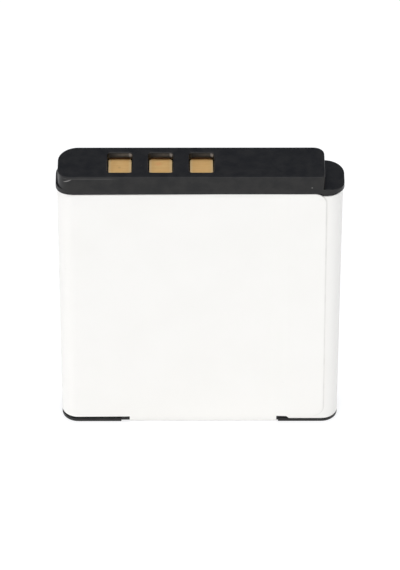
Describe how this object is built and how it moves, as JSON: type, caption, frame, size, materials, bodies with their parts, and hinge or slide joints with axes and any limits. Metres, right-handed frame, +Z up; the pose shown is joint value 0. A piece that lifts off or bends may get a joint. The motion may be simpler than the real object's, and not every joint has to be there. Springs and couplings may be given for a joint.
{
  "type": "camera battery",
  "caption": "Slim rectangular rechargeable camera battery with a white film label, a stepped black cap with recessed gold contacts on top and a black bottom cap.",
  "frame": {"origin": "middle of the pack's footprint on the ground, under the bottom cap", "axes": "+Z up towards the contacts, +Y from the front panel to the back, +X to the right seen from the front, towards the cap's step"},
  "size_m": [0.0354, 0.006, 0.0403],
  "materials": {
    "cap_plastic": "fine matt moulded black",
    "label_film": "satin white film",
    "contact_gold": "satin gold plate",
    "can_aluminium": "drawn",
    "nickel": "rolled",
    "gasket_plastic": "smooth",
    "insulating_card": "pressed fibre",
    "adhesive_tape": "satin amber",
    "cutoff_body": "resin coat",
    "board_laminate": "black solder mask",
    "chip_mould": "matt",
    "chip_ceramic": "matt",
    "foam": "open cell"
  },
  "bodies": {
    "root": {"top_cap": "cap_plastic", "bottom_cap": "cap_plastic", "label_wrap": "label_film", "cell": "can_aluminium", "cell_tape": "adhesive_tape", "terminal_gasket": "gasket_plastic", "cell_terminal": "nickel", "lid_insulator": "insulating_card", "positive_tab": "nickel", "negative_lead": "nickel", "thermal_cutoff": "cutoff_body", "negative_tab": "nickel", "circuit_board": "board_laminate", "contact_positive": "contact_gold", "contact_sense": "contact_gold", "contact_negative": "contact_gold", "protection_chip": "chip_mould", "switch_transistors": "chip_mould", "thermistor": "chip_ceramic", "chip_resistors": "chip_ceramic", "chip_capacitors": "chip_ceramic", "foam_pad": "foam"}
  },
  "joints": []
}
